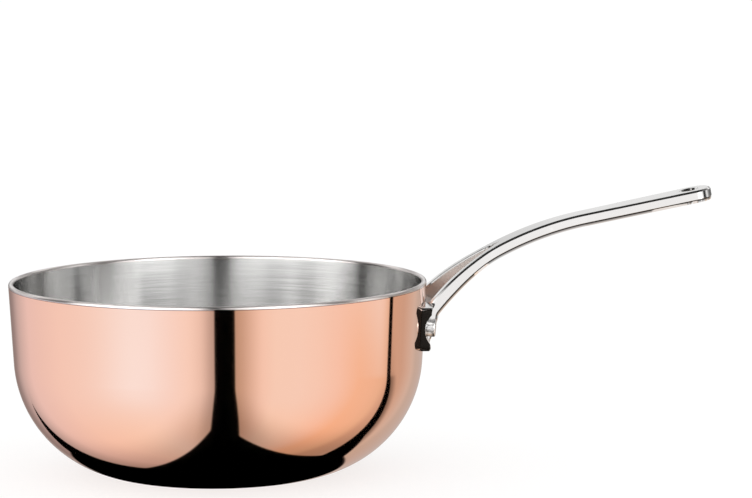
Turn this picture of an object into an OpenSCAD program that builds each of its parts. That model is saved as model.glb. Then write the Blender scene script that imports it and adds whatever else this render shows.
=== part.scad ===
// Saucier pan: a round-bottomed clad bowl with a forked cast handle held by two rivets.
// The origin is the middle of the base's underside, the handle points along +X and +Z is up.

/* [Bowl] */
// Outer diameter of the bowl at the rim
rim_d = 205; // [160:1:280]
// Height from the underside to the top of the rim
bowl_h = 95; // [80:1:140]
// Lean of the straight wall, drawn in towards the base, in degrees
wall_lean = 3.25; // [1:0.25:6]
// Outer radius of the round corner between wall and base
corner_r = 59.5; // [45:0.5:62]
// Angle between the corner's end and the flat base, in degrees
toe_angle = 8.3; // [4:0.1:16]

/* [Layers] */
// Thickness of the copper outside
copper_t = 0.5; // [0.3:0.1:1.5]
// Thickness of the aluminium core
core_t = 1.5; // [0.6:0.1:3]
// Thickness of the stainless steel lining
liner_t = 0.5; // [0.3:0.1:1]
// Height of the steel lip that covers the edges of the other layers
lip_extra = 0.3; // [0.1:0.1:2]

/* [Flange] */
// Width of the flange across the handle
flange_w = 73; // [60:1:90]
// Height of the flange along the wall
flange_h = 21.7; // [18:0.1:26]
// Depth of the flange's middle below the rim
flange_drop = 22.7; // [18:0.1:30]
// Thickness of the flange at its upper and lower edge
flange_t = 4.8; // [3.5:0.1:7]
// Depth of the hollow along the flange's outer face
flange_hollow = 2; // [0.5:0.1:2.5]
// Corner radius of the flange's outline
flange_corner_r = 3; // [1:0.5:6]
// Clearance between the flange and the bowl
flange_gap = 0.1; // [0:0.05:0.4]

/* [Fork] */
// Distance from the rim to the point where the fork's inner faces would meet
fork_reach = 38.5; // [34:0.5:46]
// Height of the handle's middle line at that point, above the rim
fork_rise = 12; // [6:0.5:20]
// Splay of each arm from the handle's middle, in degrees
arm_splay = 21; // [16:0.5:24]
// Width of each arm
arm_w = 5.3; // [4:0.1:7]
// Bend radius of the arms, seen from the side
arm_bend_r = 133; // [120:1:160]
// Slope of the arms where they leave the neck, in degrees
arm_slope = 24.5; // [20:0.5:30]
// Radius of the rounded inner end of the fork
fork_r = 2.1; // [1.5:0.1:2.4]
// Thickness of the buttress below each arm, measured out from the wall
buttress_t = 7; // [5.5:0.1:9]
// Thickness of the buttress at its lower end
buttress_toe_t = 3.4; // [2.5:0.1:4.5]

/* [Grip] */
// Reach of the handle from the rim to its tip
handle_reach = 147.3; // [125:0.1:190]
// Thickness of the handle
handle_t = 6.2; // [5:0.1:8]
// Width of the neck
neck_w = 15.6; // [13:0.1:18]
// Width of the grip at its round end
grip_w = 19; // [18:0.1:26]
// Bend radius of the neck, seen from the side
neck_bend_r = 165; // [120:1:220]
// Slope of the neck where the arms join it, in degrees
neck_slope = 26; // [22:0.5:32]
// Slope of the straight grip, in degrees
grip_slope = 10.5; // [6:0.5:16]
// Bevel of the upper edges
bevel_top = 0.8; // [0.3:0.1:1.2]
// Bevel of the lower edges
bevel_low = 1.4; // [0.5:0.1:2]
// Radius that rounds off the underside at the tip
tip_r = 4; // [2:0.1:4.5]
// Diameter of the hanging hole
hang_d = 8; // [5:0.1:10]
// Distance from the tip to the middle of the hanging hole
hang_x = 11; // [9:0.1:16]
// Bevel round the mouths of the hanging hole
hang_bevel = 0.7; // [0.2:0.1:1.2]

/* [Rivets] */
// Distance between the two rivets along the wall's chord
rivet_pitch = 52; // [48:0.5:56]
// Diameter of the rivet's shank
shank_d = 5.8; // [4:0.1:7]
// Clearance round the shank in its holes
rivet_fit = 0.05; // [0.02:0.01:0.2]
// Diameter of the head outside
head_d = 8.9; // [8:0.1:11]
// Height of the head outside
head_h = 3.4; // [1.5:0.1:5]
// Bevel of the head outside
head_bevel = 0.6; // [0.2:0.1:1.2]
// Clearance between the head outside and the edge of its seat
seat_gap = 0.5; // [0.2:0.1:1]
// Thickness left in the flange under the head
seat_t = 2.5; // [1.8:0.1:2.7]
// Diameter of the low dome inside the bowl
dome_d = 11; // [9:0.1:14]
// Height of the low dome
dome_h = 1.7; // [0.8:0.1:2.5]

/* [Hidden] */
$fn = 96;
COPPER = [0.88, 0.62, 0.49];
STEEL = [0.80, 0.80, 0.79];
CAST = [0.90, 0.90, 0.89];
ALUMINIUM = [0.75, 0.76, 0.78];
// A little more than the shape, so that cuts come out clean
over = 1;
// How far the grip runs into the neck, so that they are one piece
lap = 0.2;

// Bowl: the wall is a cone that runs tangent into the corner's circle, which meets the flat base
rim_r = rim_d / 2;
wall_t = copper_t + core_t + liner_t;
edge_z = bowl_h - wall_t / 2 - lip_extra;
corner_z = corner_r * cos(toe_angle);
wall_end_z = corner_z - corner_r * sin(wall_lean);
corner_x = wall_x(wall_end_z) - corner_r * cos(wall_lean);
lip_z = bowl_h - wall_t / 2;
lip_x = wall_x(lip_z) - wall_t / 2 / cos(wall_lean);

// Rivets and flange
flange_z = bowl_h - flange_drop;
rivet_turn = asin(rivet_pitch / 2 / wall_x(flange_z));
hollow_r = (pow(flange_h / 2, 2) + pow(flange_hollow, 2)) / (2 * flange_hollow);
dome_r = (pow(dome_d / 2, 2) + pow(dome_h, 2)) / (2 * dome_h);

// Handle, seen from the side: arms, neck and grip follow each other tangent
fork_x = rim_r + fork_reach;
fork_z = bowl_h + fork_rise;
grip_x = fork_x + neck_bend_r * (sin(neck_slope) - sin(grip_slope));
grip_z = fork_z + neck_bend_r * (cos(grip_slope) - cos(neck_slope));
grip_len = (rim_r + handle_reach - grip_x) / cos(grip_slope);
// The grip's sides leave the neck's edges and run tangent into its round end
end_x = grip_len - grip_w / 2;
grip_taper = asin(grip_w / 2 / sqrt(end_x * end_x + neck_w * neck_w / 4))
    - atan(neck_w / 2 / end_x);
side_len = end_x * cos(grip_taper) - neck_w / 2 * sin(grip_taper);
// Where the arm's outer face meets the side of the neck
web_x = fork_x - (neck_w / 2 - arm_w / cos(arm_splay)) / tan(arm_splay);
web_slope = asin(sin(neck_slope) + (fork_x - web_x) / neck_bend_r);
// The arm's middle line leaves this point, set out from the fork's inner face
arm_x = fork_x + arm_w / 2 * sin(arm_splay);
arm_y = -arm_w / 2 * cos(arm_splay);
root_slope = asin(sin(arm_slope) + (arm_reach(wall_x(flange_z)) + wall_t) / arm_bend_r);

// Outer radius of the straight wall at a height
function wall_x(z) = rim_r - (bowl_h - z) * tan(wall_lean);

// Distance along an arm, seen from above, to where it is r from the bowl's axis
function arm_reach(r) =
    let (along = arm_x * cos(arm_splay) + arm_y * sin(arm_splay))
    along - sqrt(along * along - arm_x * arm_x - arm_y * arm_y + r * r);

// Half section of everything inside the bowl's surface moved in by d, up to the height top
module inside_section(d, top) {
    r = corner_r - d;
    intersection() {
        translate([0, d]) square([2 * rim_r, top - d]);
        union() {
            translate([corner_x, corner_z]) circle(r = r);
            square([corner_x, corner_z]);
            polygon([
                [0, corner_z], [corner_x, corner_z],
                [corner_x + r * cos(wall_lean), corner_z - r * sin(wall_lean)],
                [wall_x(top) - d / cos(wall_lean), top], [0, top]]);
        }
    }
}

// Half section of a layer between two depths below the outer surface
module layer_section(d1, d2) {
    difference() {
        inside_section(d1, edge_z);
        inside_section(d2, edge_z + over);
    }
}

// Half section of the rounded lip, tangent to both faces of the wall
module lip_section() {
    out = [cos(wall_lean), -sin(wall_lean)] * wall_t / 2;
    mid = [lip_x, lip_z];
    down = edge_z;
    intersection() {
        translate(mid) circle(d = wall_t);
        translate([0, down]) square([2 * rim_r, wall_t + lip_extra]);
    }
    polygon([
        [wall_x(down), down], mid + out, mid - out,
        [wall_x(down) - wall_t / cos(wall_lean), down]]);
}

// The bowl's outer surface as a solid, grown by a gap: it trims the handle
module bowl_block(gap) {
    rotate_extrude() union() {
        inside_section(0, bowl_h + over);
        if (gap > 0)
            polygon([
                [0, wall_end_z], [wall_x(wall_end_z) + gap, wall_end_z],
                [wall_x(bowl_h + over) + gap, bowl_h + over], [0, bowl_h + over]]);
        if (gap > 0)
            translate([corner_x, corner_z]) intersection() {
                circle(r = corner_r + gap);
                translate([0, -corner_z]) square([2 * corner_r, corner_z]);
            }
    }
}

// Places its children at a rivet, with their z axis square to the wall and 0 at its outer face
module at_rivet(side) {
    rotate([0, 0, side * rivet_turn])
        translate([wall_x(flange_z), 0, flange_z])
            rotate([0, 90 + wall_lean, 0]) children();
}

// The holes for both rivets
module rivet_holes(from, to) {
    for (side = [-1, 1])
        at_rivet(side)
            translate([0, 0, from])
                cylinder(d = shank_d + 2 * rivet_fit, h = to - from);
}

module copper_shell() {
    color(COPPER) difference() {
        rotate_extrude() layer_section(0, copper_t);
        rivet_holes(-wall_t - over, over);
    }
}

module aluminium_core() {
    color(ALUMINIUM) difference() {
        rotate_extrude() layer_section(copper_t, copper_t + core_t);
        rivet_holes(-wall_t - over, over);
    }
}

module steel_liner() {
    color(STEEL) difference() {
        rotate_extrude() union() {
            layer_section(copper_t + core_t, wall_t);
            lip_section();
        }
        rivet_holes(-wall_t - over, over);
    }
}

// Bevelled cross-section of a bar: x runs up through its thickness, y across it
module bar_section(w, t) {
    polygon([
        [t / 2, w / 2 - bevel_top], [t / 2 - bevel_top, w / 2],
        [-t / 2 + bevel_low, w / 2], [-t / 2, w / 2 - bevel_low],
        [-t / 2, -w / 2 + bevel_low], [-t / 2 + bevel_low, -w / 2],
        [t / 2 - bevel_top, -w / 2], [t / 2, -w / 2 + bevel_top]]);
}

// A bar bent in the x-z plane that leaves the origin with slope a1 and goes back to slope a2
module bent_bar(w, t, r, a1, a2) {
    translate([r * sin(a1), 0, -r * cos(a1)])
        rotate([90, 0, 0]) rotate([0, 0, 90 + a1])
            rotate_extrude(angle = a2 - a1) translate([r, 0]) bar_section(w, t);
}

// One arm of the fork, on the -Y side
module arm() {
    translate([arm_x, arm_y, fork_z]) rotate([0, 0, arm_splay])
        bent_bar(arm_w, handle_t, arm_bend_r, arm_slope, root_slope);
}

// The buttress that carries an arm down the flange, on the -Y side
module buttress() {
    mid = arm_reach(wall_x(flange_z));
    low = arm_reach(wall_x(flange_z - flange_h / 2));
    top_z = flange_z + flange_h / 2;
    // how far the face comes in for each millimetre further down
    slant = (buttress_t - buttress_toe_t + low - mid) / (flange_h / 2);
    translate([arm_x, arm_y, 0]) rotate([0, 0, arm_splay])
        rotate([90, 0, 0]) translate([0, 0, -arm_w / 2]) linear_extrude(arm_w)
            polygon([
                [-mid - wall_t, flange_z - flange_h / 2 - over],
                [-low + buttress_toe_t - slant * over, flange_z - flange_h / 2 - over],
                [-mid + buttress_t, flange_z],
                [-mid + buttress_t, flange_z + handle_t / 2],
                [-mid, top_z], [-mid - wall_t, top_z]]);
}

// The neck, from the web of the fork to the grip
module neck() {
    translate([grip_x, 0, grip_z])
        bent_bar(neck_w, handle_t, neck_bend_r, grip_slope, web_slope);
}

// The opening between the arms, with its rounded inner end
module fork_opening() {
    mid = fork_x - fork_r / sin(arm_splay);
    touch = mid + fork_r * sin(arm_splay);
    translate([0, 0, flange_z - bowl_h]) linear_extrude(3 * bowl_h) {
        translate([mid, 0]) circle(r = fork_r);
        for (s = [-1, 1])
            polygon([
                [touch, 0], [touch, s * fork_r * cos(arm_splay)],
                [rim_r - wall_t, s * (fork_reach + wall_t) * tan(arm_splay)],
                [rim_r - wall_t, 0]]);
    }
}

// Bevel cutter along one side of the tapered grip
module grip_edge(side) {
    mirror([0, side < 0 ? 1 : 0, 0])
        translate([0, neck_w / 2, 0]) rotate([0, 0, grip_taper]) rotate([90, 0, 90])
            translate([0, 0, -over]) linear_extrude(side_len + over) {
                polygon([
                    [over, handle_t / 2 - bevel_top - over],
                    [over, handle_t / 2 + over],
                    [-bevel_top - over, handle_t / 2 + over]]);
                polygon([
                    [over, -handle_t / 2 + bevel_low + over],
                    [over, -handle_t / 2 - over],
                    [-bevel_low - over, -handle_t / 2 - over]]);
            }
}

// The straight grip with its round end and hanging hole, laid along x from the end of the neck
module grip() {
    r = grip_w / 2;
    touch_x = end_x - r * sin(grip_taper);
    touch_y = r * cos(grip_taper);
    hole_x = grip_len - hang_x;
    translate([grip_x, 0, grip_z]) rotate([0, -grip_slope, 0]) difference() {
        union() {
            difference() {
                translate([0, 0, -handle_t / 2]) linear_extrude(handle_t)
                    polygon([
                        [-lap, -neck_w / 2], [0, -neck_w / 2], [touch_x, -touch_y],
                        [touch_x, touch_y], [0, neck_w / 2], [-lap, neck_w / 2]]);
                grip_edge(1);
                grip_edge(-1);
            }
            translate([end_x, 0, 0]) rotate_extrude()
                polygon([
                    [0, -handle_t / 2], [r - bevel_low, -handle_t / 2],
                    [r, -handle_t / 2 + bevel_low], [r, handle_t / 2 - bevel_top],
                    [r - bevel_top, handle_t / 2], [0, handle_t / 2]]);
        }
        // the rounded underside at the tip
        translate([grip_len - tip_r, grip_w, -handle_t / 2 + tip_r]) rotate([90, 0, 0])
            linear_extrude(2 * grip_w) difference() {
                translate([0, -tip_r - over]) square([tip_r + over, tip_r + over]);
                circle(r = tip_r);
            }
        translate([hole_x, 0, -handle_t]) cylinder(d = hang_d, h = 2 * handle_t);
        for (s = [0, 1])
            mirror([0, 0, s]) translate([hole_x, 0, handle_t / 2 - hang_bevel])
                cylinder(d1 = hang_d, d2 = hang_d + 2 * (hang_bevel + over), h = hang_bevel + over);
    }
}

// The flange: a band that follows the wall, hollowed along its outer face
module flange() {
    low = flange_z - flange_h / 2;
    high = flange_z + flange_h / 2;
    thin = flange_t - flange_hollow;
    intersection() {
        rotate_extrude() difference() {
            polygon([
                [wall_x(low - over) - wall_t, low - over],
                [wall_x(low - over) + flange_t, low - over],
                [wall_x(high) + flange_t, high], [wall_x(high) - wall_t, high]]);
            translate([wall_x(flange_z) + thin + hollow_r, flange_z]) circle(r = hollow_r);
        }
        translate([0, 0, flange_z]) rotate([90, 0, 90]) linear_extrude(2 * rim_r)
            flange_outline();
    }
}

// Outline of the flange seen along the handle, with round corners
module flange_outline() {
    r = flange_corner_r;
    square([flange_w - 2 * r, flange_h + 2 * over], center = true);
    square([flange_w, flange_h - 2 * r], center = true);
    for (x = [-1, 1]) for (y = [-1, 1])
        translate([x * (flange_w / 2 - r), y * (flange_h / 2 - r)]) circle(r = r);
}

module handle() {
    color(CAST) difference() {
        union() {
            difference() {
                union() {
                    neck();
                    arm();
                    mirror([0, 1, 0]) arm();
                }
                fork_opening();
            }
            grip();
            flange();
            buttress();
            mirror([0, 1, 0]) buttress();
        }
        bowl_block(flange_gap);
        // the flange's lower edge ends the buttresses too
        translate([0, -flange_w, flange_z - flange_h / 2 - flange_h])
            cube([2 * rim_r, 2 * flange_w, flange_h]);
        rivet_holes(-wall_t, buttress_t + head_h);
        // flat seats for the heads outside
        for (side = [-1, 1])
            at_rivet(side) translate([0, 0, seat_t])
                cylinder(d = head_d + 2 * seat_gap, h = buttress_t + head_h);
    }
}

// A rivet: a low dome inside the bowl, the shank through wall and flange, and a formed head outside
module rivet(side) {
    color(STEEL) {
        at_rivet(side) {
            translate([0, 0, -wall_t - dome_h / 2])
                cylinder(d = shank_d, h = wall_t + dome_h / 2 + seat_t + head_h / 2);
            translate([0, 0, seat_t]) {
                cylinder(d = head_d, h = head_h - head_bevel);
                translate([0, 0, head_h - head_bevel])
                    cylinder(d1 = head_d, d2 = head_d - 2 * head_bevel, h = head_bevel);
            }
        }
        intersection() {
            at_rivet(side) translate([0, 0, -wall_t - dome_h]) rotate_extrude()
                intersection() {
                    translate([0, dome_r]) circle(r = dome_r);
                    square([dome_d, dome_h + wall_t / 2]);
                }
            rotate_extrude() inside_section(wall_t, bowl_h);
        }
    }
}

module rivet_left() { rivet(1); }

module rivet_right() { rivet(-1); }

copper_shell();
aluminium_core();
steel_liner();
handle();
rivet_left();
rivet_right();
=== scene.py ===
"""Dresses a saucier pan: polished copper outside, brushed steel inside, cast steel handle."""
import math

import bmesh
import bpy
import numpy as np
from mathutils import Matrix, Vector


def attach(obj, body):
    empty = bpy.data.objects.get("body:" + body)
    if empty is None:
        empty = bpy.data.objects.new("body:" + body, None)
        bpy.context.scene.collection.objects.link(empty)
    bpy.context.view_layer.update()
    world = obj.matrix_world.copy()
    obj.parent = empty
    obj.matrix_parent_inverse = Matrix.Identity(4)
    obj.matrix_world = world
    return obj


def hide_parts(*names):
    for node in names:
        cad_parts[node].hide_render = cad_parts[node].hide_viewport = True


bl_info = {
    "name": "Saucier pan",
    "version": (1, 0, 0),
    "blender": (4, 5, 0),
    "location": "3D View > Sidebar > Saucier",
    "description": "Builds the surfaces and finishes of a clad saucier pan",
    "category": "Object",
}

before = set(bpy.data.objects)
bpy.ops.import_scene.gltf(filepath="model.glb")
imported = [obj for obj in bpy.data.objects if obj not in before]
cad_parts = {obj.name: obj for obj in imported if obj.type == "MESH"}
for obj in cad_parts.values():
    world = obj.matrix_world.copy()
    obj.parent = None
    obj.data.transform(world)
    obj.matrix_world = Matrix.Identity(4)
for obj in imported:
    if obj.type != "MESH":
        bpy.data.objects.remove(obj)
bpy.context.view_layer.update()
MM = 0.001
PICTURE_WIDTH = 752
SENSOR = 36.0


# shader arithmetic
class Term:
    """A shader value that takes part in arithmetic; each operator adds one Math node."""

    def __init__(self, net, socket):
        self.net, self.socket = net, socket

    def _math(self, operation, *values):
        return self.net.one("ShaderNodeMath", {"operation": operation}, *values)

    def __add__(self, other): return self._math("ADD", self, other)
    def __radd__(self, other): return self._math("ADD", other, self)
    def __sub__(self, other): return self._math("SUBTRACT", self, other)
    def __rsub__(self, other): return self._math("SUBTRACT", other, self)
    def __mul__(self, other): return self._math("MULTIPLY", self, other)
    def __rmul__(self, other): return self._math("MULTIPLY", other, self)
    def __truediv__(self, other): return self._math("DIVIDE", self, other)
    def __rtruediv__(self, other): return self._math("DIVIDE", other, self)
    def __neg__(self): return self._math("MULTIPLY", self, -1.0)
    def power(self, exponent): return self._math("POWER", self, exponent)
    def vector(self, operation, other):
        return self.net.one("ShaderNodeVectorMath", {"operation": operation}, self, other)

    def bell(self, middle, width):
        """exp of minus the square of the distance to the middle, in widths"""
        step = (self - middle) / width
        return self._math("EXPONENT", -(step * step))

    def ramp(self, low, high, start=0.0, end=1.0):
        """Smooth step from start to end as the value goes from low to high"""
        return self.net.one(
            "ShaderNodeMapRange", {"interpolation_type": "SMOOTHSTEP", "clamp": True},
            self, low, high, start, end)


class Net:
    """Adds nodes to one node tree."""

    def __init__(self, tree):
        self.tree = tree
        tree.nodes.clear()

    def put(self, kind, settings=None, *values, **named):
        """A node of this type: its settings first, then its sockets by place or by name"""
        node = self.tree.nodes.new(kind)
        for key, value in (settings or {}).items():
            setattr(node, key, value)
        pairs = [(node.inputs[i], v) for i, v in enumerate(values) if v is not None]
        pairs += [(node.inputs[k.replace("_", " ")], v) for k, v in named.items()]
        for socket, value in pairs:
            if isinstance(value, Term):
                value = value.socket
            if isinstance(value, bpy.types.NodeSocket):
                self.tree.links.new(value, socket)
            else:
                socket.default_value = value
        return node

    def one(self, kind, settings=None, *values, out=0, **named):
        return Term(self, self.put(kind, settings, *values, **named).outputs[out])

    def dot(self, vector, axis):
        return self.one("ShaderNodeVectorMath", {"operation": "DOT_PRODUCT"}, vector,
                        tuple(axis), out="Value")

    def join(self, x, y, z):
        return self.one("ShaderNodeCombineXYZ", None, x, y, z)

    def split(self, vector):
        node = self.put("ShaderNodeSeparateXYZ", None, vector)
        return [Term(self, s) for s in node.outputs]

    def noise(self, vector, scale, detail=2.0, rough=0.5):
        return self.one("ShaderNodeTexNoise", None, Vector=vector, Scale=scale,
                        Detail=detail, Roughness=rough)

    def blend(self, amount, a, b):
        """Colour a turning into colour b"""
        node = self.put("ShaderNodeMix", {"data_type": "RGBA"})
        for i, value in ((0, amount), (6, a), (7, b)):
            if isinstance(value, Term):
                self.tree.links.new(value.socket, node.inputs[i])
            else:
                node.inputs[i].default_value = value
        return Term(self, node.outputs[2])


def rgba(colour):
    return (*tuple(colour)[:3], 1.0)


# sizes and colours
def length(name, about, default):
    return bpy.props.FloatProperty(name=name, description=about, default=default * MM,
                                   min=0.0, unit="LENGTH", precision=5)


def angle(name, about, default):
    return bpy.props.FloatProperty(name=name, description=about,
                                   default=math.radians(default), unit="ROTATION")


def share(name, about, default):
    return bpy.props.FloatProperty(name=name, description=about, default=default,
                                   min=0.0, max=1.0, subtype="FACTOR")


def tint(name, about, default):
    return bpy.props.FloatVectorProperty(name=name, description=about, default=default,
                                         min=0.0, max=1.0, subtype="COLOR")


class SAUCIER_PG_bowl(bpy.types.PropertyGroup):
    """Sizes of the clad bowl"""
    rim_radius: length("Rim radius", "Outer radius at the rim", 102.49)
    height: length("Height", "From the underside to the top of the lip", 95.0)
    lean: angle("Wall lean", "Lean of the straight wall towards the base", 3.25)
    corner: length("Corner radius", "Outer radius of the corner above the base", 59.5)
    toe: angle("Toe angle", "Angle between the corner's end and the flat base", 8.3)
    copper: length("Copper", "Thickness of the copper", 0.5)
    core: length("Core", "Thickness of the aluminium core", 1.5)
    steel: length("Steel", "Thickness of the steel lining", 0.5)
    lip: length("Lip", "Straight part of the lip above the other layers", 0.3)
    segments: bpy.props.IntProperty(name="Segments", description="Faces round the bowl",
                                    default=384, min=48, max=512)


class SAUCIER_PG_handle(bpy.types.PropertyGroup):
    """Sizes of the cast handle and its rivets"""
    fork_x: length("Fork", "Where the fork's inner faces would meet, from the axis", 141.0)
    fork_z: length("Fork height", "Height of the handle's middle line there", 107.0)
    splay: angle("Splay", "Turn of each arm from the handle's middle", 21.0)
    arm_width: length("Arm width", "Width of each arm", 5.3)
    arm_bend: length("Arm bend", "Bend radius of the arms seen from the side", 133.0)
    arm_slope: angle("Arm slope", "Slope of the arms where they leave the neck", 24.5)
    root_slope: angle("Root slope", "Slope of the arms where they turn down", 45.0)
    heel: length("Heel", "Radius of the turn from arm to foot", 6.0)
    foot_z: length("Foot", "Height of the foot's lower end", 62.6)
    fork_round: length("Fork end", "Radius of the fork's inner end", 2.1)
    thick: length("Thickness", "Thickness of the neck and grip", 6.2)
    root_thick: length("Root thickness", "Thickness of the arms at the root", 7.2)
    neck_width: length("Neck width", "Width of the neck", 15.6)
    neck_bend: length("Neck bend", "Bend radius of the neck seen from the side", 165.0)
    neck_slope: angle("Neck slope", "Slope of the neck where the arms join it", 26.0)
    grip_slope: angle("Grip slope", "Slope of the straight grip", 10.5)
    grip_width: length("Grip width", "Width of the grip at its round end", 19.0)
    reach: length("Reach", "From the rim to the tip's middle", 146.85)
    blend: length("Blend", "Softness of the bend between arm and neck", 1.5)
    bevel_top: length("Upper bevel", "Bevel of the upper edges", 0.95)
    bevel_low: length("Lower bevel", "Height of the lower edges' bevel", 1.8)
    ledge: length("Ledge", "Fine ledge above the lower band", 0.55)
    ledge_high: length("Ledge height", "Height of the ledge's slope", 0.65)
    band: length("Lower band", "How far the lower band leans in", 0.02)
    hole: length("Hanging hole", "Radius of the hanging hole", 4.0)
    hole_in: length("Hole place", "From the tip to the middle of the hole", 11.0)
    flange_width: length("Flange width", "Width of the flange", 73.0)
    flange_height: length("Flange height", "Height of the flange", 21.7)
    flange_drop: length("Flange drop", "Middle of the flange below the rim", 22.7)
    flange_thick: length("Flange thickness", "At the flange's edges", 4.8)
    flange_low: length("Lower edge", "Thickness in the middle of the lower edge", 3.3)
    hollow: length("Hollow", "Depth of the hollow at the flange's ends", 2.9)
    hollow_mid: share("Middle hollow", "Depth of the hollow in the middle, as a share", 0.75)
    flange_corner: length("Flange corner", "Corner radius of the flange", 3.0)
    gap: length("Gap", "Between flange and bowl", 0.1)
    end_x: length("End faces", "The end faces lie closer to the axis than this", 101.0)
    rivet_pitch: length("Rivet pitch", "Distance between the rivets", 52.0)
    shank: length("Shank", "Radius of the rivet's shank", 2.9)
    head: length("Head", "Radius of the head outside", 4.45)
    head_high: length("Head height", "Height of the head outside", 4.05)
    seat: length("Seat", "Flange thickness under the head", 1.85)
    dome: length("Dome", "Radius of the low dome inside", 5.5)
    dome_high: length("Dome height", "Height of the low dome", 1.7)


class SAUCIER_PG_finish(bpy.types.PropertyGroup):
    """Colours and polish"""
    copper: tint("Copper", "Colour of the copper", (0.913, 0.571, 0.440))
    copper_rough: share("Copper roughness", "Roughness of the polished copper", 0.05)
    steel: tint("Steel", "Colour of the steel lining", (0.61, 0.607, 0.60))
    steel_rough: share("Brushed roughness", "Roughness of the brushed steel", 0.16)
    lip: tint("Lip", "Colour of the polished lip", (0.80, 0.745, 0.725))
    lip_rough: share("Lip roughness", "Roughness of the polished lip", 0.28)
    cast: tint("Cast steel", "Colour of the cast handle", (0.84, 0.83, 0.82))
    cast_rough: share("Cast roughness", "Roughness of the polished casting", 0.09)
    core: tint("Aluminium", "Colour of the aluminium core", (0.76, 0.77, 0.78))


class SAUCIER_PG_stage(bpy.types.PropertyGroup):
    """Camera and studio"""
    distance: length("Distance", "From the camera to the middle of the rim", 1800.0)
    elevation: angle("Elevation", "How far the camera looks down on the rim", 7.11)
    azimuth: angle("Azimuth", "How far the handle points away from the camera", 7.5)
    roll: angle("Roll", "Turn of the camera about its own axis", -0.26)
    lens: bpy.props.FloatProperty(name="Lens", description="Focal length", default=175.44,
                                  unit="CAMERA")
    aim_right: bpy.props.FloatProperty(
        name="Aim right", description="The rim's middle lies this far left of the centre",
        default=158.5, subtype="PIXEL")
    aim_down: bpy.props.FloatProperty(
        name="Aim down", description="The rim's middle lies this far below the centre",
        default=29.2, subtype="PIXEL")


# meshes
def mesh_object(name, verts, faces, smooth_below=35.0):
    """A named object at the origin, smooth but for edges sharper than smooth_below degrees"""
    mesh = bpy.data.meshes.new(name)
    mesh.from_pydata(verts.tolist(), [], faces)
    mesh.validate()
    mesh.polygons.foreach_set("use_smooth", np.ones(len(mesh.polygons), bool))
    mesh.set_sharp_from_angle(angle=math.radians(smooth_below))
    mesh.update()
    item = bpy.data.objects.new(name, mesh)
    bpy.context.scene.collection.objects.link(item)
    return item


def revolve(name, profile, segments):
    """Surface of revolution: radius and height come from the profile, and the angle runs
    once round the z axis. The profile starts and ends on the axis, where the rings close
    in one point each."""
    rings = profile[1:-1]
    turn = np.linspace(0, 2 * math.pi, segments, endpoint=False)
    x = rings[:, :1] * np.cos(turn)
    y = rings[:, :1] * np.sin(turn)
    z = np.broadcast_to(rings[:, 1:], x.shape)
    ends = np.array([[0, 0, profile[0, 1]], [0, 0, profile[-1, 1]]])
    verts = np.concatenate([np.stack([x, y, z], 2).reshape(-1, 3), ends])
    a = np.arange(len(rings) - 1)[:, None] * segments + np.arange(segments)
    b = np.arange(len(rings) - 1)[:, None] * segments + np.roll(np.arange(segments), -1)
    quads = np.stack([a, b, b + segments, a + segments], 2).reshape(-1, 4)
    here, there = np.arange(segments), np.roll(np.arange(segments), -1)
    first = np.stack([np.full(segments, len(verts) - 2), there, here], 1)
    base = (len(rings) - 1) * segments
    last = np.stack([np.full(segments, len(verts) - 1), base + here, base + there], 1)
    return mesh_object(name, verts, quads.tolist() + first.tolist() + last.tolist())


def bowl_face(bowl, depth, top):
    """Half section of the bowl's outer surface moved in by a depth, from the axis up to the
    height top: a flat base, a circular corner and a straight leaning wall."""
    wall = lambda z: bowl.rim_radius - (bowl.height - z) * math.tan(bowl.lean)
    mid_z = bowl.corner * math.cos(bowl.toe)
    wall_z = mid_z - bowl.corner * math.sin(bowl.lean)
    mid_x = wall(wall_z) - bowl.corner * math.cos(bowl.lean)
    r = bowl.corner - depth
    toe = math.asin(min(1.0, (mid_z - depth) / r))
    turn = np.linspace(-toe, -bowl.lean, 72)
    corner = np.stack([mid_x + r * np.cos(turn), mid_z + r * np.sin(turn)], 1)
    flat = np.linspace(0, 1, 14)[:-1, None] * corner[0]
    flat[:, 1] = depth
    start = corner[-1]
    end = np.array([wall(top) - depth / math.cos(bowl.lean), top])
    rise = np.linspace(0, 1, 20)[1:, None]
    return np.concatenate([flat, corner, start + (end - start) * rise])


def layer(bowl, outer, inner, top):
    """Closed half section between two depths: up the outer face, over the top and back"""
    return np.concatenate([bowl_face(bowl, outer, top), bowl_face(bowl, inner, top)[::-1]])


def lined_layer(bowl, outer, inner, top):
    """The lining's half section: its outer face up to the cut edges of the other layers,
    out over them, round the lip's half circle and down the inner face."""
    middle_z = bowl.height - inner / 2
    middle_x = (bowl.rim_radius - (bowl.height - middle_z) * math.tan(bowl.lean)
                - inner / 2 / math.cos(bowl.lean))
    turn = np.linspace(-bowl.lean, math.pi - bowl.lean, 40)
    lip = np.stack([middle_x + inner / 2 * np.cos(turn),
                    middle_z + inner / 2 * np.sin(turn)], 1)
    edge = bowl_face(bowl, 0.0, top)[-1:]
    return np.concatenate([bowl_face(bowl, outer, top), edge, lip,
                           bowl_face(bowl, inner, top)[::-1]])


def wall_radius(bowl, z):
    """Outer radius of the straight wall at a height"""
    return bowl.rim_radius - (bowl.height - z) * math.tan(bowl.lean)


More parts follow.
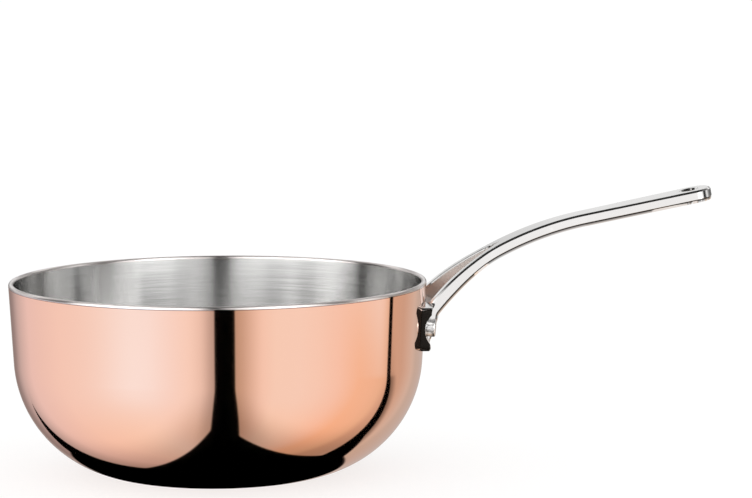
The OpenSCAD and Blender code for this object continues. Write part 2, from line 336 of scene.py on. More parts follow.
def side_path(bowl, handle):
    """The handle's middle line seen from the side, from the tip to the foot: a straight
    grip, the neck's arc, the arm's arc (foreshortened by its splay), a tight heel and a
    straight foot down the flange. Gives x, z, slope, half thickness and, on the grip, the
    distance from the end of the neck; elsewhere that distance is negative."""
    neck, arm, splay = handle.neck_bend, handle.arm_bend, math.cos(handle.splay)
    a, g = handle.neck_slope, handle.grip_slope
    grip_x = handle.fork_x + neck * (math.sin(a) - math.sin(g))
    grip_z = handle.fork_z + neck * (math.cos(g) - math.cos(a))
    size = (bowl.rim_radius + handle.reach - grip_x) / math.cos(g)
    round_at = size - handle.grip_width / 2
    hole_at = size - handle.hole_in
    wave = (1 - np.cos(np.linspace(0, math.pi, 25))) / 2
    stops = [size, round_at, hole_at + handle.hole + 0.9 * MM, hole_at + handle.hole,
             hole_at - handle.hole, hole_at - handle.hole - 0.9 * MM]
    along = [size + (round_at - size) * np.sin(np.linspace(0, math.pi / 2, 24))]
    along += [a0 + (a1 - a0) * wave for a0, a1 in zip(stops[2:], stops[3:])]
    along.append(np.linspace(stops[-1], 0, 30))
    along = np.unique(np.concatenate(along))[::-1]
    parts = [np.stack([grip_x + along * math.cos(g), grip_z + along * math.sin(g),
                       np.full_like(along, g), along], 1)]
    slope = np.linspace(g, a, 60)[1:]
    parts.append(np.stack([handle.fork_x + neck * (math.sin(a) - np.sin(slope)),
                           handle.fork_z + neck * (np.cos(slope) - math.cos(a)),
                           slope, np.full_like(slope, -1)], 1))
    own = np.linspace(handle.arm_slope, handle.root_slope, 80)[1:]
    x = handle.fork_x - arm * (np.sin(own) - math.sin(handle.arm_slope)) * splay
    z = handle.fork_z - arm * (math.cos(handle.arm_slope) - np.cos(own))
    parts.append(np.stack([x, z, np.arctan(np.tan(own) / splay), np.full_like(x, -1)], 1))
    start, end = parts[-1][-1, 2], math.radians(90) + bowl.lean
    turn = np.linspace(start, end, 20)[1:]
    heel = handle.heel
    parts.append(np.stack([x[-1] - heel * (np.sin(turn) - math.sin(start)),
                           z[-1] - heel * (math.cos(start) - np.cos(turn)),
                           turn, np.full_like(turn, -1)], 1))
    x0, z0 = parts[-1][-1, :2]
    out = handle.foot_z
    side = (handle.fork_x - x0) * math.tan(handle.splay) + handle.arm_width / 2
    x1 = math.sqrt(wall_radius(bowl, out) ** 2 - side ** 2) + 0.9 * MM
    down = np.linspace(0, 1, 26)[1:]
    parts.append(np.stack([x0 + (x1 - x0) * down, z0 + (out - z0) * down,
                           np.full_like(down, end), np.full_like(down, -1)], 1))
    path = np.concatenate(parts)
    half = np.full(len(path), handle.thick / 2)
    rise = np.clip((handle.fork_x - 8 * MM - path[:, 0]) / (22 * MM), 0, 1)
    half += (handle.root_thick - handle.thick) / 2 * rise * rise * (3 - 2 * rise)
    tail = len(down)
    half[-tail:] += (1.3 * MM - half[-tail]) * down ** 1.3
    return path, half, (size, round_at, hole_at)


def outlines(handle, x, along, marks):
    """Inner and outer half width of the handle seen from above. The fork opens as a wedge
    with a round end; the arm's outer side bends smoothly into the neck's; the grip widens
    to its round end; the hanging hole is a circle."""
    size, round_at, hole_at = marks
    tan, r = math.tan(handle.splay), handle.fork_round
    mid = handle.fork_x - r / math.sin(handle.splay)
    inner = np.maximum(0, (handle.fork_x - x) * tan)
    cap = np.sqrt(np.maximum(0, r * r - (x - mid) ** 2))
    touch = mid + r * math.sin(handle.splay)
    inner = np.where(x > touch, np.where(x < mid + r, cap, 0), inner)
    half = handle.neck_width / 2
    arm = (handle.fork_x - x) * tan + handle.arm_width / math.cos(handle.splay)
    outer = (arm + half + np.sqrt((arm - half) ** 2 + handle.blend ** 2)) / 2
    outer = np.where(x > handle.fork_x + 25 * MM, half, outer)
    end = handle.grip_width / 2
    taper = (math.asin(end / math.hypot(round_at, half)) - math.atan2(half, round_at))
    touch = round_at - end * math.sin(taper)
    grip = np.where(along < touch, half + along * math.tan(taper),
                    np.sqrt(np.maximum(0, end * end - (along - round_at) ** 2)))
    hole = np.sqrt(np.maximum(0, handle.hole ** 2 - (along - hole_at) ** 2))
    on_grip = along >= 0
    return np.where(on_grip, hole, inner), np.where(on_grip, grip, outer)


def edge_distance(handle, x, y, along, marks):
    """Distance from a point of the handle's plan to its nearest edge"""
    size, round_at, hole_at = marks
    inner, outer = outlines(handle, x, along, marks)
    lean = math.cos(handle.splay)
    mid = handle.fork_x - handle.fork_round / math.sin(handle.splay)
    tilt = np.where(x < handle.fork_x - 6 * MM, lean, 1.0)
    arm_out = (outer - y) * tilt
    arm_in = np.where(x < mid, (y - inner) * lean,
                      np.hypot(x - mid, y) - handle.fork_round)
    grip_out = np.where(along < round_at, outer - y,
                        handle.grip_width / 2 - np.hypot(along - round_at, y))
    grip_in = np.hypot(along - hole_at, y) - handle.hole
    on_grip = along >= 0
    gone = np.where(on_grip, grip_out, arm_out), np.where(on_grip, grip_in, arm_in)
    return np.maximum(0, gone[0]), np.maximum(0, gone[1])


def forked_bar(bowl, handle):
    """The arms, neck and grip as one closed skin. At each station of the side path a loop
    runs over the bottom, up the outer side, back over the top and down the inner side;
    heights fall off near the plan's edges by a bevel, and the arms stop at the wall.
    One half is made and mirrored. The last value marks the fine ledge under the sides, where
    painted shade darkens the colour."""
    path, half, marks = side_path(bowl, handle)
    x0, z0, slope, along = (path[:, i:i + 1] for i in range(4))
    half = half[:, None]
    shrink = np.clip(half / (handle.thick / 2), 0.3, 1)
    even = np.linspace(0, 1, 44)
    lam = (0.86 * (1 - np.cos(math.pi * even)) / 2 + 0.14 * even)[None]
    top_b, low_b = handle.bevel_top * shrink, handle.bevel_low * shrink
    ledge = handle.ledge * shrink
    sin, cos = np.sin(slope), np.cos(slope)

    def spot(n, share):
        x = x0 - n * sin
        inner, outer = outlines(handle, x, along + 0 * n, marks)
        return x, inner + (outer - inner) * share, z0 + n * cos

    def soft(v, by=0.12):
        return (v + np.sqrt(v * v + by * by) - by) / 2

    n = half + 0 * lam
    for _ in range(3):
        x, y, z = spot(n, lam)
        out, into = edge_distance(handle, x, y, along + 0 * n, marks)
        near = np.minimum(out, into)
        n = half - top_b * np.clip(soft(1 - near / top_b) * 1.03, 0, 1)
    top = np.stack(spot(n, lam), 2)
    n = -half + 0 * lam
    for _ in range(3):
        x, y, z = spot(n, lam)
        out, into = edge_distance(handle, x, y, along + 0 * n, marks)
        slope_end = low_b - handle.ledge_high * shrink
        deep = np.where(out < ledge, low_b - (low_b - slope_end) * out / ledge,
                        slope_end * (1 - (out - ledge) / handle.band))
        inside = top_b * (1 - into / top_b)
        n = -half + np.maximum(0, np.maximum(deep, inside))
    low = np.stack(spot(n, lam), 2)
    rise = np.linspace(0, 1, 8)[None, 1:-1]
    outer = np.stack(spot((-half + low_b) * (1 - rise) + (half - top_b) * rise, 1.0), 2)
    inner = np.stack(spot((-half + top_b) * rise + (half - top_b) * (1 - rise), 0.0), 2)
    loop = np.concatenate([low, outer, top[:, ::-1], inner], 1)
    # the arms stop at the wall
    radius = np.hypot(loop[..., 0], loop[..., 1])
    least = wall_radius(bowl, loop[..., 2]) + handle.gap
    hit = (radius < least) & (loop[..., 2] < bowl.height)
    x = np.sqrt(np.maximum(0, least ** 2 - loop[..., 1] ** 2))
    loop[..., 0] = np.where(hit, x, loop[..., 0])
    rows, count = loop.shape[:2]
    verts = np.concatenate([loop.reshape(-1, 3), loop[-1:].mean(1)])
    a = np.arange(rows - 1)[:, None] * count + np.arange(count)
    b = np.arange(rows - 1)[:, None] * count + np.roll(np.arange(count), -1)
    quads = np.stack([a, a + count, b + count, b], 2).reshape(-1, 4)
    foot = (rows - 1) * count + np.arange(count)
    fan = np.stack([foot, np.full(count, len(verts) - 1), np.roll(foot, -1)], 1)
    flat = (np.abs(verts[quads][..., 1]) < 1e-9).all(1)
    quads = quads[~flat]
    other = verts * (1, -1, 1)
    # painted shade: the fine ledge under the sides is marked so that its colour can be painted
    # near black
    painted_groove_shade = np.zeros(loop.shape[:2])
    painted_groove_shade[:, :len(lam[0])] = (out > 0.04 * MM) & (out < ledge - 0.02 * MM)
    painted_groove_shade = np.append(painted_groove_shade.ravel(), 0.0)
    return np.concatenate([verts, other]), [
        face for part in (quads, fan, quads[:, ::-1] + len(verts), fan[:, ::-1] + len(verts))
        for face in part.tolist()], np.concatenate([painted_groove_shade, painted_groove_shade])


def flange_skin(bowl, handle):
    """The flange: a section with a hollow outer face and rounded outer edges, carried
    across the handle on the wall's curve; its height falls off round the corners, the lower
    edge is thinner in the middle, and the hollow is deepest at the ends."""
    half_w, half_h = handle.flange_width / 2, handle.flange_height / 2
    middle, r = bowl.height - handle.flange_drop, handle.flange_corner
    y = np.concatenate([-half_w + r * (1 - np.cos(np.linspace(0, math.pi / 2, 12))),
                        np.linspace(-half_w + r, half_w - r, 96)[1:-1],
                        half_w - r + r * np.sin(np.linspace(0, math.pi / 2, 12))])
    past = np.clip(np.abs(y) - half_w + r, 0, r)
    high = (half_h - r + np.sqrt(np.maximum(0, r * r - past ** 2)))[:, None]
    fillet = 0.7 * MM
    turn = np.linspace(0, math.pi / 2, 7)
    v = np.linspace(1, -1, 34)
    # across the top edge, down the outer face, across the lower edge, up the inner face
    t_top = handle.flange_thick
    t_low = (handle.flange_low + (handle.flange_thick - handle.flange_low)
             * (y / half_w) ** 2)[:, None]
    hollow = handle.hollow_mid + (1 - handle.hollow_mid) * (y[:, None] / half_w) ** 2
    face = ((v * 0.5 + 0.5) * t_top + (0.5 - v * 0.5) * t_low
            - handle.hollow * hollow * (1 - v * v))
    up = v * (high - fillet)
    top_r, top_z = t_top - fillet + fillet * np.sin(turn), np.cos(turn) * fillet
    low_z = -fillet * np.sin(turn)
    ones = np.ones_like(high)
    out = np.concatenate([top_r * ones, face[:, 1:-1], t_low - fillet
                          + fillet * np.cos(turn), handle.gap * ones * np.ones(12)], 1)
    rise = np.concatenate([high - fillet + top_z, up[:, 1:-1], -high + fillet + low_z,
                           high * np.linspace(-1, 1, 12)], 1)
    z = middle + rise
    radius = wall_radius(bowl, z) + out
    wide = y[:, None] * (1 + (out - 2.4 * MM) * 0.157 / half_w)
    loop = np.stack([np.sqrt(radius ** 2 - wide ** 2), wide, z], 2)
    rows, count = loop.shape[:2]
    a = np.arange(rows - 1)[:, None] * count + np.arange(count)
    b = np.arange(rows - 1)[:, None] * count + np.roll(np.arange(count), -1)
    quads = np.stack([a, b, b + count, a + count], 2).reshape(-1, 4)
    near = np.arange(count)[::-1]
    far = (rows - 1) * count + np.arange(count)
    return loop.reshape(-1, 3), quads.tolist() + [near.tolist(), far.tolist()]


def mark(item, name, values):
    """Writes one value per point as a named attribute"""
    layer = item.data.attributes.new(name, "FLOAT", "POINT")
    layer.data.foreach_set("value", np.asarray(values, float))


def tidy(item):
    """Merges the points that meet, drops flat faces and turns every face outwards"""
    work = bmesh.new()
    work.from_mesh(item.data)
    bmesh.ops.remove_doubles(work, verts=work.verts, dist=2e-7)
    bmesh.ops.dissolve_degenerate(work, edges=work.edges, dist=1e-7)
    bmesh.ops.recalc_face_normals(work, faces=work.faces)
    work.to_mesh(item.data)
    work.free()
    item.data.set_sharp_from_angle(angle=math.radians(30))
    return item


def rivet_profile(bowl, handle):
    """Half section from the top of the head to the crown of the dome: a bevelled head, the
    shank, and a low dome whose height falls off with the square of the radius."""
    wall = bowl.copper + bowl.core + bowl.steel
    top = handle.seat + handle.head_high
    turn = np.linspace(0, math.pi / 2, 10)
    soft = 0.7 * MM
    head = np.stack([handle.head - soft + soft * np.sin(turn),
                     top - soft + soft * np.cos(turn)], 1)
    flat = np.stack([np.linspace(0, handle.head - soft, 8)[:-1], np.full(7, top)], 1)
    body = np.array([[handle.head, handle.seat], [handle.shank, handle.seat],
                     [handle.shank, -wall], [handle.dome, -wall + 0.15 * MM]])
    r = np.linspace(handle.dome, 0, 24)
    dome = np.stack([r, -wall - handle.dome_high * (1 - (r / handle.dome) ** 2)], 1)
    return np.concatenate([flat, head, body, dome])


# materials
def new_material(name):
    material = bpy.data.materials.new(name)
    material.use_nodes = True
    return material, Net(material.node_tree)


def finish_with(net, shader):
    net.put("ShaderNodeOutputMaterial", None, Surface=shader)


def place(net):
    return net.one("ShaderNodeTexCoord", out="Object")


def copper_material(finish, edge_z):
    """Mirror-polished copper: faint buffing lines round the bowl, a slow change of tone and
    a darker seam where the lip closes over its edge at the height edge_z"""
    material, net = new_material("polished_copper")
    where = place(net)
    x, y, z = net.split(where)
    radius = (x * x + y * y).power(0.5)
    round_it = net.join(x / radius * 3.0, y / radius * 3.0, z * 900.0)
    buffing = net.noise(round_it, 1.0, 3.0, 0.6)
    cloud = net.noise(where, 14.0, 3.0, 0.5)
    rough = finish.copper_rough + (cloud - 0.5) * 0.03 + (buffing - 0.5) * 0.02
    colour = net.blend(cloud, rgba([c * 0.985 for c in finish.copper]),
                       rgba([min(1.0, c * 1.015) for c in finish.copper]))
    seam = z.ramp(edge_z - 0.4 * MM, edge_z - 0.15 * MM)
    colour = net.blend(seam * 0.75, colour, (0.16, 0.09, 0.07, 1.0))
    wave = net.noise(where, 26.0, 1.0, 0.4)
    bump = net.one("ShaderNodeBump", None, Strength=0.22, Distance=0.00005, Height=wave)
    shader = net.put("ShaderNodeBsdfPrincipled", None, Base_Color=colour, Metallic=1.0,
                     Roughness=rough, Normal=bump)
    finish_with(net, shader.outputs[0])
    return material


def brushed_material(finish, edge_z):
    """Steel brushed round the bowl, with a polished lip above the height edge_z"""
    material, net = new_material("brushed_steel")
    where = place(net)
    x, y, z = net.split(where)
    radius = (x * x + y * y).power(0.5) + 1e-5
    around_x, around_y = x / radius, y / radius
    run = z - radius
    fine = net.noise(net.join(around_x * 3.0, around_y * 3.0, run * 2400.0), 1.0, 1.0, 0.5)
    coarse = net.noise(net.join(around_x * 2.0, around_y * 2.0, run * 900.0), 1.0, 1.0, 0.5)
    lip = z.ramp(edge_z, edge_z + 0.4 * MM)
    # uneven brush lines: fine ones over faint broad ones
    grain = (fine - 0.5) * 0.8 + (coarse - 0.5) * 0.1
    rough = (finish.steel_rough + grain * 0.07) * (1.0 - lip) + lip * finish.lip_rough
    tone = 0.5 + grain * 0.8
    colour = net.blend(tone, rgba([c * 0.80 for c in finish.steel]),
                       rgba([min(1.0, c * 1.18) for c in finish.steel]))
    colour = net.blend(lip, colour, rgba(finish.lip))
    bump = net.one("ShaderNodeBump", None, Strength=0.3, Distance=0.00001,
                   Height=grain * (1.0 - lip))
    shader = net.put("ShaderNodeBsdfPrincipled", None, Base_Color=colour, Metallic=1.0,
                     Roughness=rough, Normal=bump, Anisotropic=1.0,
                     Anisotropic_Rotation=0.25)
    finish_with(net, shader.outputs[0])
    return material


def cast_material(name, finish, rough, handle=None):
    """Polished cast steel: soft hollows left by the casting, small differences in polish.
    On the handle the faces between the arms are ground and rougher, with a brown grey painted
    reflection of the copper wall in their colour, and the flange's two end faces are painted
    near black as painted shade."""
    material, net = new_material(name)
    where = place(net)
    cloud = net.noise(where, 60.0, 3.0, 0.55)
    fine = net.noise(where, 900.0, 2.0, 0.6)
    wave = net.noise(where, 85.0, 1.0, 0.4)
    colour = net.blend(cloud, rgba([c * 0.97 for c in finish.cast]),
                       rgba([min(1.0, c * 1.03) for c in finish.cast]))
    rough = rough + (cloud - 0.5) * 0.06
    if handle:
        x, y, z = net.split(where)
        side = y._math("ABSOLUTE", y)
        # painted shade: the flange's two end faces are coloured near black, standing in for the
        # dark they mirror
        end = side.ramp(handle.flange_width / 2 - 0.9 * MM, handle.flange_width / 2 - 0.6 * MM)
        end = end * x.ramp(handle.end_x, handle.end_x - 0.5 * MM)
        colour = net.blend(end, colour, (0.02, 0.018, 0.016, 1.0))
        # painted shade: the marked ledge under the sides is coloured near black
        painted_groove_shade = net.one("ShaderNodeAttribute", {"attribute_name": "painted_groove_shade"}, out="Fac")
        colour = net.blend(painted_groove_shade, colour, (0.03, 0.032, 0.036, 1.0))
        inside = (handle.fork_x - x) * math.tan(handle.splay) - side
        inside = inside.ramp(-0.35 * MM, -0.1 * MM) * (1.0 - end)
        rough = rough * (1.0 - inside) + inside * 0.42 + end * 0.5
        # painted reflection: the faces between the arms are coloured brown grey in place of the
        # copper wall they mirror; their higher roughness is the real ground finish
        colour = net.blend(inside * 0.8, colour, (0.36, 0.31, 0.28, 1.0))
    bump = net.one("ShaderNodeBump", None, Strength=0.2, Distance=0.00008,
                   Height=wave + fine * 0.004)
    shader = net.put("ShaderNodeBsdfPrincipled", None, Base_Color=colour, Metallic=1.0,
                     Roughness=rough, Normal=bump)
    finish_with(net, shader.outputs[0])
    return material


def core_material(finish):
    """Matt aluminium sheet"""
    material, net = new_material("aluminium_sheet")
    cloud = net.noise(place(net), 200.0, 3.0, 0.5)
    colour = net.blend(cloud, rgba([c * 0.95 for c in finish.core]), rgba(finish.core))
    shader = net.put("ShaderNodeBsdfPrincipled", None, Base_Color=colour, Metallic=1.0,
                     Roughness=0.35 + (cloud - 0.5) * 0.1)
    finish_with(net, shader.outputs[0])
    return material


def wear(item, material):
    item.data.materials.clear()
    item.data.materials.append(material)


def wear_node(node, material):
    """Gives a carried-over solid its finish through its material slots"""
    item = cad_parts[node]
    for slot in item.material_slots:
        slot.material = material
    if not item.material_slots:
        item.data.materials.append(material)


# operators
class SAUCIER_OT_copper(bpy.types.Operator):
    """Turn the copper outside layer"""
    bl_idname = "saucier.copper"
    bl_label = "Copper layer"

    def execute(self, context):
        bowl, finish = context.scene.saucier_bowl, context.scene.saucier_finish
        total = bowl.copper + bowl.core + bowl.steel
        edge_z = bowl.height - total / 2 - bowl.lip
        item = revolve("copper_layer", layer(bowl, 0.0, bowl.copper, edge_z), bowl.segments)
        wear(item, copper_material(finish, edge_z))
        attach(item, "root")
        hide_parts("copper_shell")
        return {"FINISHED"}


class SAUCIER_OT_lining(bpy.types.Operator):
    """Turn the steel lining with its rounded lip"""
    bl_idname = "saucier.lining"
    bl_label = "Steel lining"

    def execute(self, context):
        bowl, finish = context.scene.saucier_bowl, context.scene.saucier_finish
        total = bowl.copper + bowl.core + bowl.steel
        edge_z = bowl.height - total / 2 - bowl.lip
        item = revolve("steel_lining", lined_layer(bowl, total - bowl.steel, total, edge_z),
                       bowl.segments)
        wear(item, brushed_material(finish, edge_z))
        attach(item, "root")
        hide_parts("steel_liner")
        return {"FINISHED"}


class SAUCIER_OT_core(bpy.types.Operator):
    """Finish the aluminium core"""
    bl_idname = "saucier.core"
    bl_label = "Aluminium core"

    def execute(self, context):
        wear_node("aluminium_core", core_material(context.scene.saucier_finish))
        return {"FINISHED"}


class SAUCIER_OT_handle(bpy.types.Operator):
    """Form the cast handle: arms, neck, grip and flange"""
    bl_idname = "saucier.handle"
    bl_label = "Cast handle"

    def execute(self, context):
        bowl, handle = context.scene.saucier_bowl, context.scene.saucier_handle
        finish = context.scene.saucier_finish
        bar, bar_faces, painted_groove_shade = forked_bar(bowl, handle)
        flange, flange_faces = flange_skin(bowl, handle)
        faces = bar_faces + [[i + len(bar) for i in face] for face in flange_faces]
        item = mesh_object("cast_handle", np.concatenate([bar, flange]), faces)
        mark(item, "painted_groove_shade", np.append(painted_groove_shade, np.zeros(len(flange))))
        tidy(item)
        wear(item, cast_material("cast_steel", finish, finish.cast_rough, handle))
        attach(item, "root")
        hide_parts("handle")
        return {"FINISHED"}


class SAUCIER_OT_rivets(bpy.types.Operator):
    """Turn the two rivets"""
    bl_idname = "saucier.rivets"
    bl_label = "Rivets"

    def execute(self, context):
        bowl, handle = context.scene.saucier_bowl, context.scene.saucier_handle
        finish = context.scene.saucier_finish
        material = cast_material("rivet_steel", finish, finish.cast_rough + 0.2)
        z = bowl.height - handle.flange_drop
        radius = wall_radius(bowl, z)
        turn = math.asin(handle.rivet_pitch / 2 / radius)
        for name, side in (("rivet_left", 1), ("rivet_right", -1)):
            item = revolve(name + "_dressed", rivet_profile(bowl, handle), 96)
            item.data.transform(Matrix.Rotation(side * turn, 4, "Z")
                                @ Matrix.Translation((radius, 0, z))
                                @ Matrix.Rotation(math.pi / 2 + bowl.lean, 4, "Y"))
            tidy(item)
            wear(item, material)
            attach(item, "root")
            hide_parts(name)
        return {"FINISHED"}


def turned(vector, azimuth):
    """A direction given as right, away and up in the picture, turned into the pan's axes"""
    right, away, up = vector
    c, s = math.cos(azimuth), math.sin(azimuth)
    return Vector((right * c + away * s, away * c - right * s, up))


def make_camera(stage, height):
    """The camera looks down on the rim's middle from a distance, then turns so that the
    rim's middle lies left of and below the centre of the picture."""
    e = stage.elevation
    pixels = stage.lens / SENSOR * PICTURE_WIDTH
    down = Vector((0, math.cos(e), -math.sin(e)))
    right = Vector((1, 0, 0))
    up = right.cross(down)
    look = (down + right * (stage.aim_right / pixels) + up * (stage.aim_down / pixels))
    look.normalize()
    right = look.cross(Vector((0, 0, 1))).normalized()
    up = right.cross(look)
    c, s = math.cos(stage.roll), math.sin(stage.roll)
    right, up = right * c + up * s, up * c - right * s
    spot = -down * stage.distance + Vector((0, 0, height))
    axes = [turned(v, stage.azimuth) for v in (right, up, -look)]
    data = bpy.data.cameras.new("picture")
    data.sensor_width = SENSOR
    data.lens = stage.lens
    data.clip_end = 100.0
    camera = bpy.data.objects.new("picture", data)
    camera.matrix_world = Matrix.Translation(turned(spot, stage.azimuth)) @ Matrix(
        axes).transposed().to_4x4()
    bpy.context.scene.collection.objects.link(camera)
    bpy.context.scene.camera = camera


# The studio: white boards stand round the pan. Each board is what lies on the inner side of
# a few planes through the pan; each plane is written as its normal, pointing into the board,
# as right, away and up in the picture.
LEFT_BOARD = ((-0.997, 0.021, 0.069), (-0.956, -0.195, 0.221), (-0.827, -0.562, -0.008))
RIGHT_BOARD = ((0.986, 0.131, 0.100), (0.892, -0.315, 0.325), (0.254, -0.914, -0.315))


def heading(azimuth, elevation):
    """A direction as right, away and up in the picture; azimuth 0 is towards the camera"""
    a, e = math.radians(azimuth), math.radians(elevation)
    return Vector((math.sin(a) * math.cos(e), -math.cos(a) * math.cos(e), math.sin(e)))


def plane_through(first, second, inside):
    """Normal of the plane through the pan and two directions, on the side of a third"""
    normal = heading(*first).cross(heading(*second)).normalized()
    return normal if normal.dot(heading(*inside)) > 0 else -normal


BACK_RIGHT = (plane_through((113.1, -11.7), (132.8, -38.3), (150, -20)),
              plane_through((132.8, -38.3), (150, -41), (150, -20)),
              plane_through((150, -41), (176.7, -18.3), (150, -20)),
              plane_through((178, -10), (178, -30), (150, -20)))
BACK_LEFT = (plane_through((-174.1, -17.9), (-159.9, -28.1), (-165, -15)),
             plane_through((-152.2, -24.1), (-136, -9), (-165, -15)),
             plane_through((-175, -10), (-175, -30), (-165, -15)))


def colour_ring(net, azimuth, stops):
    """Colour by azimuth, blended between the stops, which go from -180 to 180 degrees"""
    node = net.put("ShaderNodeValToRGB", None, (azimuth + 180.0) / 360.0)
    elements = node.color_ramp.elements
    elements[0].position, elements[1].position = 0.0, 1.0
    for at, *_ in stops[1:-1]:
        elements.new((at + 180) / 360)
    for element, (at, *value) in zip(elements, stops):
        element.color = rgba(value * 3 if len(value) == 1 else value)
    return Term(net, node.outputs[0])


def make_world(stage):
    """White for the camera and for the floor's light. Polished metal sees boards with soft
    edges and dark gaps between them, and a paler ring above."""
    world = bpy.data.worlds.new("studio")
    bpy.context.scene.world = world
    world.use_nodes = True
    world.cycles.sampling_method = "NONE"
    net = Net(world.node_tree)
    way = net.one("ShaderNodeTexCoord", out="Generated")
    toward = lambda v: net.dot(way, turned(v, stage.azimuth))
    right, away, up = toward((1, 0, 0)), toward((0, 1, 0)), toward((0, 0, 1))
    azimuth = right._math("ARCTAN2", right, -away) * math.degrees(1)
    elevation = up._math("ARCSINE", up) * math.degrees(1)

    # 0 where only the handle's sides are mirrored, 1 from the height the bowl's wall mirrors
    deep = elevation.ramp(-11.0, -13.6)

    def board(edges, fades=(), hard=0.006):
        """Inside all the edges; a fade (width, least) dims the board towards its edge"""
        mask = None
        for i, edge in enumerate(edges):
            reach = toward(edge)
            side = reach.ramp(-hard, hard)
            if i < len(fades):
                width, least = fades[i]
                side = side * (1.0 - deep * reach.ramp(0.0, width, 1.0 - least, 0.0))
            mask = side if mask is None else mask * side
        return mask

    # low down, seen by the outside of the bowl: red, green and blue by azimuth
    tints = colour_ring(net, azimuth, [
        (-180, .55, .48, .44), (-165, .28, .23, .22),
        (-157, .36, .31, .31), (-146, .62, .57, .59),
        (-130, .89, .83, .88), (-99, 1.0, .97, 1.0), (-69, 1.02, 1.04, 1.08),
        (-50, 1.03, 1.08, 1.14), (-38, 1.03, 1.08, 1.15), (-27, 1.03, 1.05, 1.1),
        (-16, 1.03, 1.02, 1.03), (-4, .98, .92, .90), (8, .86, .70, .57), (12, .86, .72, .60),
        (17, .93, .82, .74), (24, 1.0, .94, .91), (32, 1.02, 1.02, 1.01),
        (46, 1.02, 1.02, 1.02), (58, 1.02, .98, .96), (71, 1.02, .90, .84),
        (86, 1.0, .77, .60), (98, .96, .75, .59), (106, .90, .72, .56), (113, .72, .56, .45),
        (125, .67, .54, .45), (133, .70, .61, .54),
        (140, .70, .65, .60), (147, .6, .57, .53), (165, .58, .52, .49),
        (180, .55, .48, .44)])
    strength = board(LEFT_BOARD, ((0.14, 0.74), (0.42, 0.62)))
    for edges, fades in ((RIGHT_BOARD, ((0.28, 0.72), (0.45, 0.6))),
                         (BACK_RIGHT, ((0.12, 0.4),)), (BACK_LEFT, ())):
        strength = strength._math("MAXIMUM", strength, board(edges, fades))
    glow = azimuth.bell(-48.0, 22.0) * (elevation.bell(-14.7, 16.0) * 0.75
                                        + elevation.bell(-14.7, 1.2) * 0.25)
    tints = tints.vector("ADD", net.join(glow * 0.03, glow * 0.18, glow * 0.30))
    tints = tints.vector("MULTIPLY", net.blend(elevation.ramp(-20.0, -62.0), rgba((1, 1, 1)),
                                               rgba((1.02, .93, .84))))
    facing = azimuth.ramp(-34.0, -16.0) * azimuth.ramp(112.0, 100.0)
    tints = net.blend(facing * (1.0 - deep), tints, rgba((1.0, 0.99, 0.99)))
    low = tints.vector("MULTIPLY", net.join(strength, strength, strength))
    # higher up, seen by the inside of the bowl
    high = colour_ring(net, azimuth, [
        (-180, .10), (-152, .12), (-130, .27), (-121, .22), (-116, .01), (-92, .01),
        (-85, .76), (-75, 1.1), (-55, 1.15), (-22, 1.06), (-13, .82), (-8, .40),
        (-6, .0), (1.5, .0), (3.4, .34), (11, .62), (19, .80), (28, 1.18),
        (38, 1.36), (46, 1.28), (53, .70), (61, .48), (67, .01), (78, .02), (87, .42), (93, .56),
        (103, .24), (115, .12), (125, .08), (150, .10), (180, .10)])
    upper = elevation.ramp(-5.5, -2.5)
    behind = azimuth._math("ABSOLUTE", azimuth).ramp(120.0, 150.0)
    strip = behind * (elevation.bell(9.8, 5.0) * 0.19 + elevation.bell(6.0, 2.0) * 0.22
                      + elevation.ramp(22.0, 32.0) * 0.45)
    high = high.vector("ADD", net.join(strip, strip, strip))
    rising = net.blend(elevation.ramp(4.0, 13.0), rgba((1.7,) * 3), rgba((3.3,) * 3))
    high = high.vector("MULTIPLY", net.blend(elevation.ramp(20.0, 42.0), rising,
                                             rgba((1.3,) * 3)))
    light = net.blend(upper, low, high)
    light = net.blend(elevation.ramp(57.0, 69.0), light, rgba((0.03, 0.03, 0.03)))
    paths = net.put("ShaderNodeLightPath")
    level = net.blend(Term(net, paths.outputs["Is Glossy Ray"]), (1, 1, 1, 1), light)
    background = net.put("ShaderNodeBackground", None, Color=level, Strength=1.0)
    net.put("ShaderNodeOutputWorld", None, Surface=background.outputs[0])


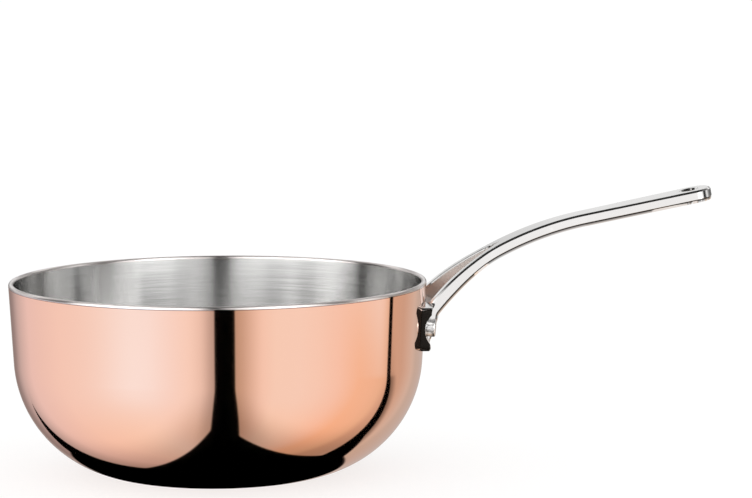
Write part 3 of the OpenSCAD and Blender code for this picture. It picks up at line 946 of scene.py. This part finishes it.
def make_floor():
    """A wide pale disc under the pan. Its shadow is soft, and metal doesn't show it."""
    turn = np.linspace(0, 2 * math.pi, 96, endpoint=False)
    verts = np.stack([9.0 * np.cos(turn), 9.0 * np.sin(turn), np.full(96, -0.0001)], 1)
    floor = mesh_object("floor", verts, [list(range(96))])
    material, net = new_material("pale_floor")
    diffuse = net.put("ShaderNodeBsdfDiffuse", None, Color=(0.92, 0.92, 0.92, 1))
    paths = net.put("ShaderNodeLightPath")
    glow = net.put("ShaderNodeEmission", None, Color=(1, 1, 1, 1),
                   Strength=Term(net, paths.outputs["Is Camera Ray"]) * 1.08)
    mixed = net.put("ShaderNodeMixShader", None, 0.7, diffuse.outputs[0], glow.outputs[0])
    finish_with(net, mixed.outputs[0])
    wear(floor, material)
    floor.visible_glossy = False


class SAUCIER_OT_stage(bpy.types.Operator):
    """Set up the camera, the floor and the light"""
    bl_idname = "saucier.stage"
    bl_label = "Stage"

    def execute(self, context):
        stage = context.scene.saucier_stage
        make_camera(stage, context.scene.saucier_bowl.height)
        make_world(stage)
        make_floor()
        context.scene.view_settings.view_transform = "Standard"
        return {"FINISHED"}


class SAUCIER_PT_panel(bpy.types.Panel):
    """Lists the pan's pieces"""
    bl_label = "Saucier pan"
    bl_idname = "SAUCIER_PT_panel"
    bl_space_type = "VIEW_3D"
    bl_region_type = "UI"
    bl_category = "Saucier"

    def draw(self, context):
        for piece in PIECES:
            self.layout.operator(piece.bl_idname)
        for group in GROUPS:
            settings = getattr(context.scene, GROUPS[group])
            for name in settings.bl_rna.properties.keys():
                if name not in {"rna_type", "name"}:
                    self.layout.prop(settings, name)


GROUPS = {SAUCIER_PG_bowl: "saucier_bowl", SAUCIER_PG_handle: "saucier_handle",
          SAUCIER_PG_finish: "saucier_finish", SAUCIER_PG_stage: "saucier_stage"}
PIECES = [SAUCIER_OT_copper, SAUCIER_OT_lining, SAUCIER_OT_core, SAUCIER_OT_handle,
          SAUCIER_OT_rivets, SAUCIER_OT_stage]
CLASSES = [*GROUPS, *PIECES, SAUCIER_PT_panel]


def register():
    for item in CLASSES:
        bpy.utils.register_class(item)
    for group, name in GROUPS.items():
        setattr(bpy.types.Scene, name, bpy.props.PointerProperty(type=group))


def unregister():
    for name in GROUPS.values():
        delattr(bpy.types.Scene, name)
    for item in reversed(CLASSES):
        bpy.utils.unregister_class(item)


def main():
    register()
    bpy.ops.saucier.copper()
    bpy.ops.saucier.lining()
    bpy.ops.saucier.core()
    bpy.ops.saucier.handle()
    bpy.ops.saucier.rivets()
    bpy.ops.saucier.stage()


if __name__ == "__main__":
    main()
